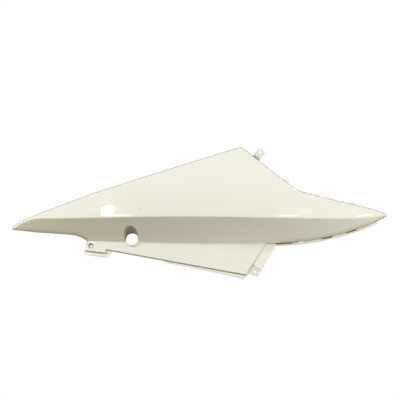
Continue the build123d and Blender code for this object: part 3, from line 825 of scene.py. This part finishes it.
def maths(make, operation, *terms):
    return make("ShaderNodeMath", dict(enumerate(terms)), operation=operation).outputs[0]


def vector_maths(make, operation, *terms):
    return make("ShaderNodeVectorMath", dict(enumerate(terms)), operation=operation).outputs


def noise(make, here, scale, detail):
    return make("ShaderNodeTexNoise", {"Vector": here, "Scale": scale, "Detail": detail}).outputs[0]


def bump(make, height, strength):
    inputs = {"Strength": strength, "Distance": 0.0003, "Height": height}
    return make("ShaderNodeBump", inputs).outputs[0]


def ivory():
    """Gloss ivory paint: faint drift of tone, fine orange peel, painted shade along rounded edges that noise
    breaks up and that is a little duller, and painted shade in recesses that is duller and has less specular.
    """
    made, make, link = fresh("ivory_paint")
    here = make("ShaderNodeTexCoord").outputs["Object"]
    edge = make("ShaderNodeAttribute", attribute_name="edge").outputs["Fac"]
    deep = make("ShaderNodeAttribute", attribute_name="deep").outputs["Fac"]
    drift = noise(make, here, 9.0, 3.0)
    peel = noise(make, here, 420.0, 2.0)
    edge_shade_noise = ramp(make, noise(make, here, 160.0, 4.0), NOISE_LOW, NOISE_HIGH, 0.7, 1.0)
    edge_shade = maths(make, "MULTIPLY", edge, edge_shade_noise)
    apart = vector_maths(make, "SUBTRACT", here, SPECK_AT)[0]
    apart = vector_maths(make, "MULTIPLY", apart, SPECK_SCALE)[0]
    speck = ramp(make, vector_maths(make, "LENGTH", apart)["Value"], 1.2, 0.6, 0.0, SPECK_SHARE)
    tone = blend(make, ramp(make, drift, NOISE_LOW, NOISE_HIGH), IVORY_A, IVORY_B)
    # painted shade along edges and in recesses, then the small dark speck
    for share, dark in ((edge_shade, EDGE_TONE), (deep, DEEP_TONE), (speck, DEEP_TONE)):
        tone = blend(make, share, tone, dark)
    dull = ramp(make, drift, NOISE_LOW, NOISE_HIGH, *PAINT_ROUGH)
    dull = maths(make, "MULTIPLY_ADD", deep, DEEP_DULL, dull)
    link("Base Color", tone)
    link("Roughness", maths(make, "MULTIPLY_ADD", edge_shade, EDGE_SHADE_DULL, dull))
    link("Specular IOR Level", ramp(make, deep, 0.0, 1.0, *SPECULAR))
    link("Normal", bump(make, peel, 0.02))
    return made


def moulded():
    """Unpainted inner side: matt, with a fine moulded grain."""
    made, make, link = fresh("moulded_plastic")
    here = make("ShaderNodeTexCoord").outputs["Object"]
    drift = noise(make, here, 14.0, 4.0)
    grain = noise(make, here, 900.0, 3.0)
    link("Base Color", blend(make, ramp(make, drift, NOISE_LOW, NOISE_HIGH), PLASTIC_A, PLASTIC_B))
    link("Roughness", ramp(make, grain, NOISE_LOW, NOISE_HIGH, *PLASTIC_ROUGH))
    link("Normal", bump(make, grain, 0.12))
    return made


paint, inside_plastic = ivory(), moulded()
for piece in pieces:
    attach(piece, "root")
    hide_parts("side_panel")
    piece.data.materials.append(paint)
    piece.data.materials.append(inside_plastic)

# the studio, in metres and watts
MIDDLE, TIP = (0.2, -0.02, 0.07), (-0.142, -0.015, 0.038)
LAMP_DISTANCE, TIP_DISTANCE = 3.5, 0.125
WHITE, WARM, TIP_WARM = (1, 1, 1), (1, 0.743, 0.533), (1, 0.93, 0.8)
ABOVE, BELOW = (0.538, 0.538, 0.538, 1), (0.4, 0.3, 0.14, 1)
FLOOR_LIT, FLOOR_SEEN = (0.2, 0.16, 0.09, 1), (0.95, 0.95, 0.95, 1)
FLOOR_MIDDLE, FLOOR_R, FLOOR_Z, FLOOR_SIDES = (0.2, 0.0), 1.35, -0.4, 96
CAMERA_AT, LENS, SENSOR = (0.218, -8.0, 0.092), 360, 36


def lamp(name, way, at, size, energy, colour=WHITE, distance=LAMP_DISTANCE, mirrored=True):
    """A round or oval lamp that shines at a point, seen from which it lies along way."""
    data = bpy.data.lights.new(name, "AREA")
    data.shape, data.energy, data.color = "ELLIPSE", energy, colour
    data.size, data.size_y = size
    thing = bpy.data.objects.new(name, data)
    bpy.context.scene.collection.objects.link(thing)
    thing.location = Vector(at) + Vector(way).normalized() * distance
    thing.rotation_euler = (Vector(at) - thing.location).to_track_quat("-Z", "Y").to_euler()
    thing.visible_camera = False
    thing.visible_glossy = mirrored


lamp("key", (-0.72, -0.455, 0.522), MIDDLE, (0.5, 0.5), 56.0)
lamp("fill", (0.535, -0.592, 0.594), MIDDLE, (0.8, 0.8), 28.5)
lamp("right", (0.962, -0.084, -0.259), MIDDLE, (0.5, 0.5), 55.0)
lamp("front", (0.1, -1.0, 0.0), MIDDLE, (0.8, 0.8), 7.7, WARM, mirrored=False)
lamp("behind", (0.1, 1.0, -0.05), MIDDLE, (1.0, 1.0), 20.0, mirrored=False)
lamp("tip", (-0.53, -0.65, -0.54), TIP, (0.06, 0.06), 0.022, TIP_WARM, TIP_DISTANCE, mirrored=False)

# small lamps, each mirrored in the gloss at one spot: the bright core, lines beside it, and three at the rear
lamp("core", (-0.221, -0.907, 0.353), (0.032, -0.053, 0.07), (0.1, 0.3), 1.7)
lamp("core_side", (-0.19, -0.915, 0.345), (0.05, -0.053, 0.07), (0.12, 0.25), 0.06)
lamp("core_line", (-0.227, -0.882, 0.414), (0.026, -0.05, 0.09), (0.09, 0.025), 0.05)
lamp("crease_line", (-0.197, -0.932, 0.302), (0.053, -0.053, 0.062), (0.27, 0.1), 0.75)
lamp("rear_spot", (0.49, -0.805, 0.335), (0.428, -0.04, 0.07), (0.3, 0.16), 0.2)
lamp("rear_line", (0.414, -0.858, 0.301), (0.392, -0.045, 0.06), (0.45, 0.09), 0.8)
lamp("tail_line", (0.72, -0.64, 0.268), (0.55, 0.018, 0.058), (0.26, 0.05), 0.3)


def seen_as_white(make):
    """1 for the rays that see the studio's ground itself, in view, mirrored or through something."""
    ray = make("ShaderNodeLightPath").outputs
    seen = maths(make, "MAXIMUM", ray["Is Camera Ray"], ray["Is Glossy Ray"])
    return maths(make, "MAXIMUM", seen, ray["Is Transmission Ray"])


def studio_light():
    """White to the eye, and to the part a soft light that is warm and darker from below."""
    world = bpy.data.worlds.new("studio")
    bpy.context.scene.world = world
    world.use_nodes = True
    make = node_maker(world.node_tree)
    up = make("ShaderNodeSeparateXYZ", {0: make("ShaderNodeTexCoord").outputs["Generated"]}).outputs[2]
    light = make("ShaderNodeBackground", {0: blend(make, ramp(make, up, -0.5, 0.4), BELOW, ABOVE), 1: 1.0})
    white = make("ShaderNodeBackground", {0: (1, 1, 1, 1), 1: 1.0})
    mixed = make("ShaderNodeMixShader", {0: seen_as_white(make), 1: light.outputs[0], 2: white.outputs[0]})
    world.node_tree.links.new(mixed.outputs[0], world.node_tree.nodes["World Output"].inputs["Surface"])


def floor_disc():
    """A floor that is white to the eye, and warm and dark to what stands over it."""
    mesh = bpy.data.meshes.new("floor")
    points = [(x, y, FLOOR_Z) for x, y in circle(FLOOR_MIDDLE, FLOOR_R, FLOOR_SIDES)]
    mesh.from_pydata(points, [], [tuple(range(FLOOR_SIDES))])
    made, make, link = fresh("floor_white")
    made.node_tree.nodes["Principled BSDF"].inputs["Roughness"].default_value = 0.7
    link("Base Color", blend(make, seen_as_white(make), FLOOR_LIT, FLOOR_SEEN))
    mesh.materials.append(made)
    floor = bpy.data.objects.new("floor", mesh)
    bpy.context.scene.collection.objects.link(floor)


def photo_camera():
    """The photo's view: level, from straight in front."""
    data = bpy.data.cameras.new("camera")
    data.lens, data.sensor_width, data.clip_end = LENS, SENSOR, 100
    camera = bpy.data.objects.new("camera", data)
    bpy.context.scene.collection.objects.link(camera)
    camera.location = CAMERA_AT
    camera.rotation_euler = (math.pi / 2, 0, 0)
    bpy.context.scene.camera = camera


studio_light()
floor_disc()
photo_camera()
bpy.context.scene.view_settings.view_transform = "Standard"
